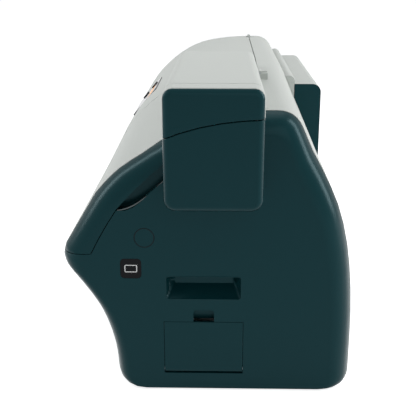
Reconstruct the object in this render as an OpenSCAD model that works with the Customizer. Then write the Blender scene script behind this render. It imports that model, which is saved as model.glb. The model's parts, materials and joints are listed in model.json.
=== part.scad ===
// Desktop card printer: card feeder at the right end, card tray at the left end,
// lift-up hood over the print mechanism, service unit on the back.
// +X points to the feeder end, -Y to the front, +Z up; the floor is Z = 0.

/* [Casing] */
// Right end face of the body, from the centre of the whole printer
body_right = 308.5; // [304:0.5:312]
// Left end face of the body, from the centre of the whole printer
body_left = 255.5; // [250:0.5:260]
// Radius of the rounded shoulder round each end
shoulder = 22; // [20:1:24]
// Wall of the moulded covers
wall = 3; // [2.5:0.5:3.5]
// How far the top falls away at the right end
top_fall = 13.5; // [12:0.5:15]

/* [Card feeder] */
// How far the feeder stands out from the right end
feeder_reach = 41; // [38:1:44]
// Top of the feeder above the floor
feeder_top = 306; // [304:1:308]
// Width of the feeder from front to back
feeder_w = 86.5; // [86:0.5:88]

/* [Cards] */
// Length of a card
card_l = 85.6; // [85:0.1:86]
// Width of a card
card_w = 54; // [53.5:0.1:54.5]
// Height of the stack of cards in the feeder
stack_h = 12; // [8:1:14]

/* [Rollers] */
// Radius of the roller shafts
shaft_r = 3; // [2.8:0.1:3.2]
// Running clearance between a shaft and its hole
running = 0.06; // [0.04:0.01:0.08]
// Height of the card path
path_z = 206; // [205:0.5:207]

/* [Hidden] */
$fn = 48;
// Joint lines between covers that part when the hood lifts
gap = 0.8;
shell_grey = "#c2c5bf";
dark_teal = "#1e4046";
steel = "#9aa0a4";
black = "#15171a";

// A quadratic curve from a to c that b pulls, without its first point
function curve(a, b, c, n) = [for (i = [1 : n]) let (t = i / n)
  (1 - t) * (1 - t) * a + 2 * t * (1 - t) * b + t * t * c];
function clamp01(t) = min(1, max(0, t));

// The outline of the body, seen from the right end, in three open stretches
hood_seam_y = 51;
skirt_z = 1.5;
hood_line = concat([[-138.2, 141], [-136, 149], [-106, 206]],
  curve([-106, 206], [-92, 229.5], [-82, 240], 3),
  curve([-82, 240], [-52, 271.5], [-20, 282], 6),
  curve([-20, 282], [8, 290.2], [hood_seam_y, 290.8], 5));
rear_line = concat([[hood_seam_y + 1, 290.8], [62, 290.8]],
  curve([62, 290.8], [79, 291], [86, 275], 6),
  curve([86, 275], [95, 253], [105, 232], 2),
  curve([105, 232], [124, 190], [132, 149], 4),
  curve([132, 149], [139.5, 108], [139.5, 51], 4),
  [[139.5, 15]], curve([139.5, 15], [139.5, skirt_z], [128, skirt_z], 4));
front_line = concat([[-72, skirt_z]], curve([-72, skirt_z], [-88.5, skirt_z], [-90, 17], 4),
  curve([-90, 17], [-91, 53], [-105.5, 84], 5),
  curve([-105.5, 84], [-114, 101], [-134, 126], 4),
  curve([-134, 126], [-139, 132], [-138.7, 139.5], 3));
body_line = concat(hood_line, rear_line, front_line);

// A stretch of outline moved inward by t
function inward(ps, t) = let (n = len(ps)) [for (i = [0 : n - 1])
  let (d = ps[min(n - 1, i + 1)] - ps[max(0, i - 1)]) ps[i] + t / norm(d) * [d[1], -d[0]]];

// The outline at station x: the top falls from fall_start to the right end, and inset
// draws the section in round the shoulders
fall_start = 36.5;
shoulder_right = body_right - shoulder;
shoulder_left = -body_left + shoulder;
function fall(x, y, z) = clamp01((x - fall_start) / (shoulder_right - fall_start))
  * clamp01((z - 180) / 80) * (top_fall + 9 * clamp01((50 - y) / 100));
function section(ps, x, inset = 0) = [for (p = ps)
  [x, p[0] * (1 - inset / 139.5), 4 + (p[1] - fall(x, p[0], p[1]) - 4) * (1 - inset / 285)]];

// Side faces between m rings of n points
function side_faces(n, m) = [for (k = [0 : m - 2], i = [0 : n - 1]) let (j = (i + 1) % n)
  each [[k * n + i, k * n + j, (k + 1) * n + j], [k * n + i, (k + 1) * n + j, (k + 1) * n + i]]];
// A closed solid through rings of points, the first ring at the lowest x, with each
// end a fan round the centre
module loft(rings, centre = [0, 140]) {
  n = len(rings[0]);
  m = len(rings);
  ends = [for (r = [rings[0], rings[m - 1]]) [r[0][0], centre[0], centre[1]]];
  low_end = [for (i = [0 : n - 1]) [m * n, (i + 1) % n, i]];
  high_end = [for (i = [0 : n - 1]) [m * n + 1, (m - 1) * n + i, (m - 1) * n + (i + 1) % n]];
  polyhedron(concat([for (r = rings) each r], ends), concat(side_faces(n, m), low_end, high_end));
}
function reversed(ps) = [for (i = [len(ps) - 1 : -1 : 0]) ps[i]];
// A wall along an open stretch of outline, through the stations xs, with each end a
// strip between the outer and the inner line
module skin(ps, xs, t = wall) {
  n = 2 * len(ps);
  m = len(xs);
  top = (m - 1) * n;
  rings = [for (x = xs) concat(section(ps, x), section(reversed(inward(ps, t)), x))];
  low_end = [for (i = [0 : len(ps) - 2]) each [[n - 2 - i, i + 1, i], [n - 1 - i, n - 2 - i, i]]];
  high_end = [for (i = [0 : len(ps) - 2])
    each [[top + i, top + i + 1, top + n - 2 - i], [top + i, top + n - 2 - i, top + n - 1 - i]]];
  polyhedron([for (r = rings) each r], concat(side_faces(n, m), low_end, high_end));
}

// The rounded end of the body: a solid from the seam plane to the end face
seam_angle = 12;
function shoulder_angles(a) = [for (i = [0 : 5]) a + (90 - a) * i / 5];
module end_solid(t = 0) {
  r = shoulder - t;
  line = t > 0 ? inward(body_line, t) : body_line;
  loft([for (a = t > 0 ? concat([0], shoulder_angles(seam_angle)) : shoulder_angles(seam_angle))
    section(line, shoulder_right + r * sin(a), r * (1 - cos(a)))]);
}
module end_shell() {
  difference() {
    end_solid();
    end_solid(wall);
  }
}
seam_right = shoulder_right + shoulder * sin(seam_angle);
seam_left = shoulder_left - shoulder * sin(seam_angle);
module left_end_shell() {
  r = shoulder;
  difference() {
    loft([for (a = reversed(shoulder_angles(seam_angle)))
      section(body_line, shoulder_left - r * sin(a), r * (1 - cos(a)))]);
    loft([for (a = concat(reversed(shoulder_angles(seam_angle)), [0]))
      section(inward(body_line, wall), shoulder_left - (r - wall) * sin(a),
        (r - wall) * (1 - cos(a)))]);
  }
}

// Lengthways stations of the skins between the two ends
stations = [seam_left + 0.3, shoulder_left, fall_start, 160, shoulder_right, seam_right - 0.3];

// Solids that stand along X from a drawing in Y and Z
module along_x(x0, x1) {
  translate([x0, 0, 0]) rotate([90, 0, 90]) linear_extrude(x1 - x0) children();
}
module rod_y(x, z, y0, y1, r) {
  translate([x, y0, z]) rotate([-90, 0, 0]) cylinder(h = y1 - y0, r = r);
}
module rod_x(y, z, x0, x1, r) {
  translate([x0, y, z]) rotate([0, 90, 0]) cylinder(h = x1 - x0, r = r);
}
module rounded_rect(y0, y1, z0, z1, r) {
  translate([y0 + r, z0]) square([y1 - y0 - 2 * r, z1 - z0]);
  translate([y0, z0 + r]) square([y1 - y0, z1 - z0 - 2 * r]);
  for (y = [y0 + r, y1 - r], z = [z0 + r, z1 - r]) translate([y, z]) circle(r);
}
module block(a, b) {
  translate(a) cube(b - a);
}

// The feeder: a box with rounded edges whose front face is rounded too
feeder_y0 = -38;
feeder_y1 = feeder_y0 + feeder_w;
feeder_mid = (feeder_y0 + feeder_y1) / 2;
feeder_z0 = 198.6;
feeder_face = body_right + feeder_reach;
lid_gap_x = feeder_face - 28;
fascia_x = 86;
hump_start = fascia_x + 1;
function corner(y, z, r, a0) = [for (i = [0 : 4]) let (a = a0 - 22.5 * i)
  [y + r * cos(a), z + r * sin(a)]];
function feeder_ring(t) = concat(
  corner(feeder_y0 + 9, feeder_top - 9, 9 - t, 180), corner(feeder_y1 - 9, feeder_top - 9, 9 - t, 90),
  corner(feeder_y1 - 10, feeder_z0 + 10, 10 - t, 0), corner(feeder_y0 + 10, feeder_z0 + 10, 10 - t, -90));
function ring_at(ps, x) = [for (p = ps) [x, p[0], p[1]]];
module feeder_solid(x0, t = 0) {
  edge = 6 - t;
  loft(concat(
    [for (a = [90, 45, 0]) ring_at(feeder_ring(t + edge * (1 - cos(a))), x0 + t + edge * (1 - sin(a)))],
    [for (a = [0, 30, 60, 90])
      ring_at(feeder_ring(t + edge * (1 - cos(a))), feeder_face - 6 + edge * sin(a))]),
    [feeder_mid, 250]);
}
// The joint between the feeder's body and the part that lifts with the hood
seam_curve = concat([[feeder_y0 - 2, 262]], curve([feeder_y0 - 2, 262], [0, 279.5], [hood_seam_y, 280], 5));
module lifted_side(d = 0) {
  polygon(concat([for (p = seam_curve) p + [0, d]], [[hood_seam_y, 330], [feeder_y0 - 2, 330]]));
}
module fixed_side(d = 0) {
  polygon(concat([for (p = seam_curve) p + [0, d]], [[hood_seam_y, 0], [feeder_y0 - 2, 0]]));
}

// The part of the right end that lifts with the hood, and the finger grip beside it
band_edge = concat([[-109.6, 143.3]], curve([-109.6, 143.3], [-99, 165], [-84.6, 186.5], 3),
  curve([-84.6, 186.5], [-64, 210], [feeder_y0 - 2, 230], 4));
grip_edge = concat([[-84.6, 186.5], [-76, 186.8]], curve([-76, 186.8], [-66, 189], [-52.8, 204.4], 3),
  [[feeder_y0, 217], [feeder_y0, 230]]);
module band_area(d = 0, side = feeder_y0 + 1) {
  polygon(concat([[-160, 139.5 + d]], [for (p = band_edge) p + [-d * 0.7, d * 0.7]],
    [[side, 230 + d], [side, 330], [-160, 330]]));
}
module grip_area() {
  polygon(concat(grip_edge, reversed([for (i = [4 : 7]) band_edge[i] + [-0.5, 0.5]])));
}

// Hood hinge: two pins on one axis just above the rear seam
hinge_y = 51.5;
hinge_z = 291;
hinge_r = 2.6;
hinge_pin_r = 1.2;
hinge_xs = [-226, 150];
module hinge_ears() {
  for (x = hinge_xs, s = [-1, 1]) {
    rod_x(hinge_y, hinge_z, x + s * 7 - 2.4, x + s * 7 + 2.4, hinge_r);
    block([x + s * 7 - 2.4, hood_seam_y + 1.5, 270], [x + s * 7 + 2.4, 60, hinge_z]);
  }
}
module hinge_lug(x) {
  rod_x(hinge_y, hinge_z, x - 4.2, x + 4.2, hinge_r);
  block([x - 4.2, 45.6, 286], [x + 4.2, hinge_y, hinge_z - 1.4]);
}
module bored_lug(x) {
  difference() {
    hinge_lug(x);
    rod_x(hinge_y, hinge_z, x - 5, x + 5, hinge_pin_r + running);
  }
}
module hinge_bore(r) {
  for (x = hinge_xs) rod_x(hinge_y, hinge_z, x - 11, x + 11, r);
}

// Casing pieces
module base_pan() {
  color(dark_teal) difference() {
    union() {
      block([seam_left + 1, -68, 1], [seam_right - 1, 124, 4]);
      for (y = [-52, 96], x = [-210, 230]) translate([x, y, 1]) cylinder(h = 6, r = 13);
      for (y = [-71, 124]) block([seam_left + 1, y, 4], [seam_right - 1, y + 3, 14]);
      for (y = [-71, 121]) block([seam_left + 1, y, 3.2], [seam_right - 1, y + 6, 6]);
      for (x = [-200, 20, 240], y = [-30, 40]) translate([x, y, 3]) cylinder(h = 9, r = 8);
    }
    for (y = [-52, 96], x = [-210, 230]) translate([x, y, -1]) cylinder(h = 5, r = 10);
    for (i = [0 : 11]) block([-120 + i * 10, -10, 0], [-115 + i * 10, 30, 6]);
  }
}
module front_lower_panel() {
  color(dark_teal) along_x(seam_left + 0.3, seam_right - 0.3)
    polygon(concat(front_line, reversed(inward(front_line, wall))));
}
port_x = [60, 236];
port_z = [20, 96];
vent_x = -214;
module rear_cover() {
  color(shell_grey) difference() {
    union() {
      skin(rear_line, stations);
      hinge_ears();
    }
    hinge_bore(hinge_pin_r);
    block([hinge_xs[0] - 4.5, hood_seam_y + 0.5, 280], [hinge_xs[0] + 4.5, hinge_y + hinge_r + 0.5, 300]);
    block([port_x[0], 125, port_z[0]], [port_x[1], 150, port_z[1]]);
    for (i = [0 : 13]) block([vent_x + i * 8, 125, 40], [vent_x + 4 + i * 8, 150, 96]);
  }
}

handle_y = [-40, 31.5];
module handle_hollow() {
  hull() {
    along_x(body_right - 0.5, body_right + 2) rounded_rect(handle_y[0], handle_y[1], 98, 121.5, 3);
    along_x(294, 296) translate([handle_y[0] + 8, 109]) square([handle_y[1] - handle_y[0] - 16, 9]);
  }
}
hatch_y = [-42.7, 34];
hatch_z = [18.6, 74.4];
hatch_r = 3.5;
hatch_axis_x = body_right - hatch_r;
hatch_axis_z = hatch_z[0] + hatch_r + 0.4;
hatch_pin_r = 1.5;
plug_at = [-59.5, 160.2];
plug_r = 9.5;
pad_y = [-82.8, -62.8];
pad_z = [119.3, 139.3];
module end_cap_right() {
  color(dark_teal) difference() {
    union() {
      end_shell();
      along_x(290, body_right - 1) rounded_rect(handle_y[0] - 4, handle_y[1] + 4, 94, 125, 5);
      along_x(290, body_right - 1) polygon([[-88, 180], [-50, 180], [-36, 196], [-36, 232], [-62, 220]]);
      along_x(297, body_right - 1) rounded_rect(-17, 9, 72, 90, 4);
      for (y = [hatch_y[0] - 4, hatch_y[1] + 0.4])
        block([300, y, hatch_axis_z - 4], [body_right - 1, y + 3.6, hatch_axis_z + 4]);
    }
    along_x(280, 340) band_area();
    along_x(295, 340) grip_area();
    handle_hollow();
    along_x(300, 340) rounded_rect(-14, 5.7, 60, 86.8, 3);
    along_x(280, 340) translate([hatch_y[0], hatch_z[0]])
      square([hatch_y[1] - hatch_y[0], hatch_z[1] - hatch_z[0]]);
    translate([hatch_axis_x, hatch_y[0] - 3, hatch_axis_z]) rotate([-90, 0, 0])
      cylinder(h = hatch_y[1] - hatch_y[0] + 6, r = hatch_pin_r);
    rod_x(plug_at[0], plug_at[1], 290, 340, plug_r + 0.15);
    along_x(280, 340) rounded_rect(feeder_y0 - 0.3, feeder_y1 + 0.3, feeder_z0 - 0.3, 300, 9);
    along_x(body_right - 0.8, 340) rounded_rect(pad_y[0], pad_y[1], pad_z[0], pad_z[1], 4);
  }
}
module hood_band_right() {
  color(dark_teal) difference() {
    intersection() {
      end_solid();
      along_x(280, 320) band_area(gap, feeder_y0 - 0.3);
    }
    end_solid(wall);
  }
}
exit_y = [feeder_mid - 30, feeder_mid + 30];
module end_cap_left() {
  color(dark_teal) difference() {
    left_end_shell();
    along_x(-300, -200) left_band_area();
    along_x(-300, -200) translate([exit_y[0], path_z - 8]) square([60, 20]);
  }
}
module left_band_area(d = 0) {
  polygon([[-160, 139.5 + d], [-109.6, 143.3 + d], [-40 - d, 215 + d], [hood_seam_y, 230 + d],
    [hood_seam_y, 330], [-160, 330]]);
}
module hood_band_left() {
  color(dark_teal) intersection() {
    left_end_shell();
    along_x(-300, -200) left_band_area(gap);
  }
}

// Hood: a front panel along the whole length, a top cover left of the feeder
crease = 2;
crease_z = hood_line[crease][1] - 0.8;
module above_crease() {
  polygon([[-160, crease_z + 32.4], [-100, crease_z - 3.6], [-60, crease_z - 3.6], [hood_seam_y + 9, 240],
    [hood_seam_y + 9, 330], [-160, 330]]);
}
module hood_front() {
  color(shell_grey) difference() {
    skin(hood_line, stations);
    along_x(seam_left - 5, fascia_x + 0.4) above_crease();
    for (i = [0 : 2]) along_x(fall_start + i * (fascia_x - fall_start) / 3, fascia_x + 0.4)
      translate([0, -0.5 * (i + 1)]) above_crease();
    along_x(fascia_x - 10, 320) translate([feeder_y0 - 0.4, 200]) square([hood_seam_y + 10 - feeder_y0, 130]);
  }
}
panel_low = [-99, 217.5];
panel_high = [-70, 251.5];
panel_x = [-70, 24];
panel_mid = (panel_low + panel_high) / 2;
panel_len = norm(panel_high - panel_low);
panel_tilt = atan2(panel_high[1] - panel_low[1], panel_high[0] - panel_low[0]);
// On the sloping panel: x to the right end, y up the slope, z out of the surface
module on_panel() {
  translate([0, panel_mid[0], panel_mid[1]]) rotate([panel_tilt, 0, 0]) translate([0, 0, 1.4]) children();
}
key_at = [[-57, 10], [-57, -8]];
key_r = 5.5;
module hood_top() {
  color(shell_grey) {
    difference() {
      skin([for (i = [crease : len(hood_line) - 1]) hood_line[i]],
        [seam_left + 0.3, shoulder_left, fall_start, fascia_x - 0.4]);
      on_panel() block([panel_x[0], -panel_len / 2, -8], [panel_x[1], panel_len / 2, 8]);
      block([hinge_xs[0] - 9.8, 48, 280], [hinge_xs[0] + 9.8, 55, 300]);
    }
    bored_lug(hinge_xs[0]);
  }
}
module display_lens() {
  color(black) difference() {
    on_panel()
      block([panel_x[0] + 0.2, -panel_len / 2 + 0.2, -5], [panel_x[1] - 0.2, panel_len / 2 - 0.2, 0]);
    on_panel() {
      for (k = key_at) translate([k[0], k[1], -6]) cylinder(h = 10, r = key_r + 0.3);
      block([-41, 4, -0.8], [19, 15, 2]);
    }
  }
}
module display_header() {
  color("#e8a53c") on_panel() block([-40.8, 4.2, -0.8], [18.8, 14.8, 0]);
}
module key(i) {
  color(black) on_panel() translate([key_at[i][0], key_at[i][1], -6.5]) {
    cylinder(h = 7.7, r = key_r);
    cylinder(h = 1, r = key_r + 1.5);
  }
}
module power_key() {
  key(0);
}
module menu_key() {
  key(1);
}
module feeder_hump() {
  color(shell_grey) {
    difference() {
      feeder_solid(hump_start);
      feeder_solid(hump_start, wall);
      along_x(lid_gap_x, 360) square([400, 700], center = true);
      along_x(0, 360) polygon([[-60, 0], [-60, 246], [70, 270], [70, 0]]);
      along_x(body_right - 0.2, 360) fixed_side(0.3);
    }
    bored_lug(hinge_xs[1]);
  }
}
lid_face_x = feeder_face - 4.5;
module lid_slice(x0, x1) {
  intersection() {
    difference() {
      feeder_solid(hump_start);
      feeder_solid(hump_start, wall);
    }
    along_x(x0, x1) lifted_side(0.3);
  }
}
module feeder_lid_rim() {
  color(shell_grey) lid_slice(lid_gap_x + 0.6, lid_face_x);
}
module feeder_lid_face() {
  color(dark_teal) lid_slice(lid_face_x, 400);
}
module feeder_body() {
  color(dark_teal) difference() {
    feeder_solid(body_right + 0.3 - 30);
    feeder_solid(body_right + 0.3 - 30, wall);
    along_x(200, body_right + 0.3) square([400, 700], center = true);
    along_x(200, 400) lifted_side(-0.3);
  }
}
module hinge_pins() {
  color(steel) for (x = hinge_xs) rod_x(hinge_y, hinge_z, x - 9.4, x + 9.4, hinge_pin_r);
}
module service_hatch() {
  y0 = hatch_y[0] + 0.4;
  y1 = hatch_y[1] - 0.4;
  color(dark_teal) difference() {
    union() {
      block([body_right - 3, y0, hatch_axis_z], [body_right, y1, hatch_z[1] - 0.4]);
      rod_y(hatch_axis_x, hatch_axis_z, y0, y1, hatch_r);
      for (y = [y0 + 8, y1 - 10]) block([body_right - 6, y, hatch_axis_z], [body_right - 2, y + 2, 68]);
    }
    rod_y(hatch_axis_x, hatch_axis_z, y0 - 1, y1 + 1, hatch_pin_r + running);
  }
}
module hatch_pins() {
  color(steel) {
    rod_y(hatch_axis_x, hatch_axis_z, hatch_y[0] - 3, hatch_y[0] + 8, hatch_pin_r);
    rod_y(hatch_axis_x, hatch_axis_z, hatch_y[1] - 8, hatch_y[1] + 3, hatch_pin_r);
  }
}
module hole_plug() {
  color(dark_teal) {
    rod_x(plug_at[0], plug_at[1], body_right - 3, body_right, plug_r);
    rod_x(plug_at[0], plug_at[1], body_right - 5.5, body_right - 3, plug_r + 1.2);
  }
}
module reader_pad() {
  color(black) along_x(body_right - 0.8, body_right)
    rounded_rect(pad_y[0] + 0.2, pad_y[1] - 0.2, pad_z[0] + 0.2, pad_z[1] - 0.2, 3.8);
}

// Service unit on the back
unit_x = [-248.5, 36.5];
unit_y = 132.5;
unit_top = 260;
module unit_area(t = 0) {
  difference() {
    union() {
      translate([90, 138 + t]) square([unit_y - t - 90, unit_top - 10 - 138 - t]);
      translate([84, 200]) square([unit_y - 10 - 84, unit_top - t - 200]);
      translate([unit_y - 10, unit_top - 10]) circle(10 - t);
    }
    polygon(concat([[0, 0], [0, 290]], [for (p = rear_line) p + [0.05 + t, 0.05]], [[0, 0]]));
  }
}
module rear_unit_shell() {
  color(dark_teal) difference() {
    along_x(unit_x[0], unit_x[1]) unit_area();
    along_x(unit_x[0] + wall, unit_x[1] - wall) unit_area(wall);
    along_x(unit_x[0] - 1, unit_x[1] - 1.2) translate([60, unit_top - 11]) square([100, 40]);
    along_x(unit_x[0] - 1, unit_x[1] + 1) translate([60, 140]) square([40.4, 160]);
  }
}
module rear_unit_top() {
  color(shell_grey) intersection() {
    difference() {
      along_x(unit_x[0], unit_x[1] - 1.4) unit_area();
      along_x(unit_x[0] + wall, unit_x[1] - 1.4 - wall) unit_area(wall);
    }
    along_x(unit_x[0] - 1, unit_x[1] + 1) translate([100.6, unit_top - 10.8]) square([100, 40]);
  }
}
rib_at = [93, 262.5];
rib_r = 8;
module rear_rib() {
  color(shell_grey) difference() {
    union() {
      rod_x(rib_at[0], rib_at[1], unit_x[0], unit_x[1], rib_r);
      along_x(unit_x[0], unit_x[1]) translate([rib_at[0], 238]) square([7, rib_at[1] - 238]);
    }
    along_x(unit_x[0] - 1, unit_x[1] + 1)
      polygon(concat([[0, 0], [0, 290]], [for (p = rear_line) p + [0.05, 0.05]], [[0, 0]]));
  }
}
module feet() {
  color(black) for (y = [-52, 96], x = [-210, 230]) translate([x, y, 0]) cylinder(h = 4, r = 9.9);
}
hopper_x = [-349.5, -body_left];
hopper_y = [feeder_mid - 34, feeder_mid + 34];
module output_hopper() {
  color(dark_teal) difference() {
    block([hopper_x[0], hopper_y[0], 104], [hopper_x[1], hopper_y[1], 178]);
    block([hopper_x[0] + 3, hopper_y[0] + 3, 108], [hopper_x[1] - 3, hopper_y[1] - 3, 180]);
    block([hopper_x[0] - 1, feeder_mid - 16, 128], [hopper_x[0] + 4, feeder_mid + 16, 180]);
    block([hopper_x[1] - 4, feeder_mid - 29, 170], [hopper_x[1] + 1, feeder_mid + 29, 180]);
  }
}
module printed_cards() {
  color("white") for (i = [0 : 7])
    translate([hopper_x[0] + 4 + 0.3 * (i % 3), feeder_mid - card_w / 2, 108 + 0.8 * i])
      cube([card_l, card_w, 0.76]);
}

// Chassis
plate_y = [feeder_mid - 49.25, feeder_mid + 47.25];
roller_xs = [276, 200, 0, -110, -222];
roller_r = 7;
roller_z = path_z - roller_r;
module plate_outline() {
  difference() {
    translate([-236, 12]) square([516, 216]);
    for (x = [-200, -122, 44, 122, 200], z = [34, 98]) translate([x, z]) square([60, 52]);
    translate([-236, 214]) square([40, 20]);
  }
}
module side_plate(y) {
  translate([0, y + 2, 0]) rotate([90, 0, 0]) linear_extrude(2) plate_outline();
}
module shaft_holes(y) {
  for (x = roller_xs) rod_y(x, roller_z, y - 1, y + 3, shaft_r + running);
  rod_y(pinch_at[0], pinch_at[1], y - 1, y + 3, shaft_r + running);
}
pinch_r = 6;
pinch_at = [200, path_z + 1 + pinch_r];
module chassis_front_plate() {
  color(steel) difference() {
    side_plate(plate_y[0]);
    shaft_holes(plate_y[0]);
  }
}
module chassis_rear_plate() {
  color(steel) difference() {
    side_plate(plate_y[1]);
    shaft_holes(plate_y[1]);
  }
}
module chassis_base() {
  color(steel) {
    block([-236, plate_y[0] + 2.2, 12], [280, plate_y[1] - 0.2, 14]);
    for (x = [-236, -20, 240]) block([x, plate_y[0] + 2, 14], [x + 14, plate_y[1], 24]);
    for (x = [-236, 262]) block([x, plate_y[0] + 2, 160], [x + 3, plate_y[1], 190]);
  }
}
bay_y = [feeder_mid - card_w / 2 - 1, feeder_mid + card_w / 2 + 1];
bay_x = [body_right + 38 - card_l - 4, body_right + 38 - 1];
module feeder_cradle() {
  color(black) difference() {
    union() {
      block([bay_x[0], bay_y[0], path_z - 3.5], [bay_x[1], bay_y[1], path_z - 0.1]);
      for (y = [bay_y[0] - 2.5, bay_y[1]])
        block([bay_x[0], y, path_z - 3.5], [bay_x[1], y + 2.5, path_z + 46]);
      block([bay_x[0] - 2, bay_y[0] - 2.5, path_z + 2], [bay_x[0], bay_y[1] + 2.5, path_z + 46]);
      block([bay_x[0], plate_y[0] + 2, path_z - 3.5], [bay_x[0] + 8, plate_y[1], path_z - 0.1]);
    }
    block([268, bay_y[0] + 4, path_z - 6], [284, bay_y[1] - 4, path_z + 2]);
    for (y = [bay_y[0] - 3, bay_y[1] - 1]) block([296, y, path_z + 14], [330, y + 4, path_z + 50]);
  }
}
module card_stack() {
  color("white") block([bay_x[1] - card_l - 1, feeder_mid - card_w / 2, path_z],
    [bay_x[1] - 1, feeder_mid + card_w / 2, path_z + stack_h]);
}
module card_weight() {
  color(black) difference() {
    union() {
      block([bay_x[0] + 6, bay_y[0] + 2, path_z + stack_h + 0.1],
        [bay_x[1] - 4, bay_y[1] - 2, path_z + stack_h + 4]);
      block([bay_x[0] + 30, feeder_mid - 4, path_z + stack_h + 4],
        [bay_x[1] - 30, feeder_mid + 4, path_z + stack_h + 9]);
    }
    block([bay_x[0] + 12, bay_y[0] + 8, path_z + stack_h + 2],
      [bay_x[0] + 26, bay_y[1] - 8, path_z + stack_h + 6]);
  }
}

// Rollers: a shaft through both plates, a rubber sleeve, and a belt pulley at the back
belt_y = plate_y[1] + 4;
pulley_r = 8;
module roller(i, w, reach = 8) {
  x = roller_xs[i];
  color(steel) rod_y(x, roller_z, plate_y[0] - 3, belt_y + reach, shaft_r);
  color(black) rod_y(x, roller_z, feeder_mid - w / 2, feeder_mid + w / 2, roller_r - 0.4);
  color(steel) {
    rod_y(x, roller_z, belt_y, belt_y + 5, pulley_r - 0.1);
    rod_y(x, roller_z, belt_y - 1, belt_y, pulley_r + 1.6);
  }
}
module feed_roller() {
  roller(0, 30);
}
module cleaning_roller() {
  roller(1, 60);
}
// Involute gear in the drawing plane, a tooth centred on its +X side
pressure = 20;
function inv_point(rb, a) = rb * [cos(a) + a * PI / 180 * sin(a), sin(a) - a * PI / 180 * cos(a)];
function turned(p, a) = [p[0] * cos(a) - p[1] * sin(a), p[0] * sin(a) + p[1] * cos(a)];
module gear_shape(teeth, m, slack = 0.1) {
  rp = m * teeth / 2;
  rb = rp * cos(pressure);
  ra = rp + 0.9 * m;
  rr = rp - 1.2 * m;
  reach = sqrt(ra * ra / (rb * rb) - 1) * 180 / PI;
  half = 90 / teeth + (tan(pressure) * 180 / PI - pressure) - slack / rp * 180 / PI / 2;
  flank = concat([[rr, 0]], [for (i = [0 : 3]) inv_point(rb, reach * i / 3)]);
  up = [for (p = flank) turned(p, -half)];
  tooth = concat(up, [for (p = reversed(up)) [p[0], -p[1]]]);
  polygon([for (k = [0 : teeth - 1]) each [for (p = tooth) turned(p, 360 / teeth * k)]]);
}
gear_m = 1.25;
gear_teeth = 32;
pinion_teeth = 14;
gear_y = belt_y + 7;
motor_angle = -60;
gear_gap = gear_m * (gear_teeth + pinion_teeth) / 2;
motor_at = [roller_xs[2] + gear_gap * cos(motor_angle), roller_z + gear_gap * sin(motor_angle)];
module spur(x, z, teeth, a, thick, bore_r) {
  translate([x, gear_y + thick, z]) rotate([90, 0, 0]) rotate([0, 0, a]) linear_extrude(thick)
    difference() {
      gear_shape(teeth, gear_m);
      circle(bore_r);
    }
}
module platen_roller() {
  roller(2, 64, 14);
  color("#d8d4c8") spur(roller_xs[2], roller_z, gear_teeth, motor_angle, 6, shaft_r - 0.5);
}
module transport_roller() {
  roller(3, 60);
}
module exit_roller() {
  roller(4, 60);
}
module pinch_roller() {
  color(steel) rod_y(pinch_at[0], pinch_at[1], plate_y[0] - 3, plate_y[1] + 3.6, shaft_r);
  color(black) rod_y(pinch_at[0], pinch_at[1], feeder_mid - 30, feeder_mid + 30, pinch_r);
}
belt_t = 1.2;
module belt_loop(r) {
  span = roller_xs[0] - roller_xs[4];
  translate([0, -r]) square([span, 2 * r]);
  for (x = [0, span]) translate([x, 0]) circle(r);
}
module drive_belt() {
  color(black) translate([roller_xs[4], belt_y + 4.6, roller_z]) rotate([90, 0, 0]) linear_extrude(4.2)
    difference() {
      belt_loop(pulley_r + belt_t);
      belt_loop(pulley_r);
    }
}
module motor() {
  color("#3a3d42") {
    rod_y(motor_at[0], motor_at[1], gear_y + 9, gear_y + 42, 17);
    difference() {
      translate([motor_at[0] - 20, gear_y + 6.6, motor_at[1] - 20]) cube([40, 2.4, 40]);
      rod_y(motor_at[0], motor_at[1], gear_y + 6, gear_y + 10, 4);
    }
    for (x = [-17, 17]) translate([motor_at[0] + x - 2, plate_y[1] + 2, motor_at[1] - 19])
      cube([4, gear_y + 4.6 - plate_y[1], 4]);
  }
}
module motor_pinion() {
  color("#d8d4c8") spur(motor_at[0], motor_at[1], pinion_teeth, motor_angle + 180 + 180 / pinion_teeth, 6, 1);
  color(steel) rod_y(motor_at[0], motor_at[1], gear_y - 0.6, gear_y + 8.7, 1.5);
}

// Print head, ribbon and their frame
spool_x = [60, -60];
spool_z = 248;
tray_y = [feeder_mid - 43, feeder_mid + 41];
head_axis = [-26, 238];
lever_pin_r = 2;
module ribbon_tray() {
  color("#8d9296") difference() {
    union() {
      for (y = tray_y) {
        for (x = spool_x) rod_y(x, spool_z, y, y + 2, 10);
        translate([0, y + 2, 0]) rotate([90, 0, 0]) linear_extrude(2)
          polygon([[-70, 240], [-60, 224], [-40, 214], [-34, 230], [34, 230], [40, 214], [60, 224],
            [70, 240], [66, 254], [52, 254], [44, 244], [-44, 244], [-52, 254], [-66, 254]]);
        for (x = [-39, 35]) block([x, y, 190], [x + 4, y + 2, 224]);
      }
      for (x = [-39, 35]) block([x, plate_y[0] + 2, 214], [x + 4, plate_y[1], 218]);
    }
    for (y = tray_y, x = spool_x) rod_y(x, spool_z, y - 1, y + 3, shaft_r + running);
    for (y = tray_y) rod_y(head_axis[0], head_axis[1], y - 1, y + 3, lever_pin_r + running);
  }
}
module spool(x, r_film) {
  color("#22252a") rod_y(x, spool_z, tray_y[0] - 1.5, tray_y[1] + 3.5, shaft_r);
  color("#d8d4c8") for (y = [feeder_mid - 34, feeder_mid + 32]) rod_y(x, spool_z, y, y + 2, 17);
  color("#2b3f77") rod_y(x, spool_z, feeder_mid - 32, feeder_mid + 32, r_film);
}
module supply_spool() {
  spool(spool_x[0], 14);
}
module takeup_spool() {
  spool(spool_x[1], 10);
}
film_low = path_z + 1.6;
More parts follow.
